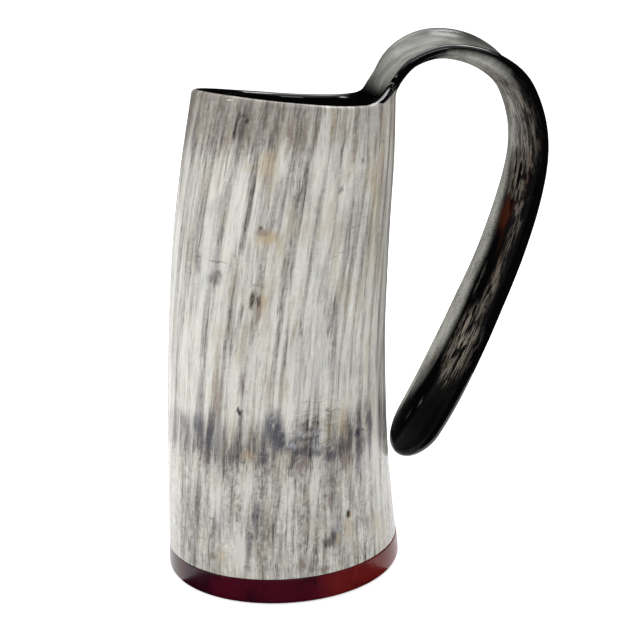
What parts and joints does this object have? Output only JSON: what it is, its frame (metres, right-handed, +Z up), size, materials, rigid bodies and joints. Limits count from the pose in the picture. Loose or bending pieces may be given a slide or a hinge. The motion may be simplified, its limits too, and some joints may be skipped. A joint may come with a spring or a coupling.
{
  "type": "horn drinking cup",
  "caption": "Tankard cut from one length of pale streaked horn, its wall running up into a bent dark strap handle, on a dark red turned wooden base.",
  "frame": {"origin": "centre of the wooden base's resting face, on the table", "axes": "+Z up, +X towards the handle"},
  "size_m": [0.1367, 0.08, 0.1781],
  "materials": {
    "horn": "satin polished horn, pale and streaked outside, black towards the strap and inside",
    "stained_wood": "dark red stain under gloss lacquer",
    "glue": "cured dark epoxy",
    "clear_coat": "glossy food-safe resin"
  },
  "bodies": {
    "root": {"horn": "horn", "wood_base": "stained_wood", "base_glue": "glue", "floor_seal": "clear_coat"}
  },
  "joints": []
}
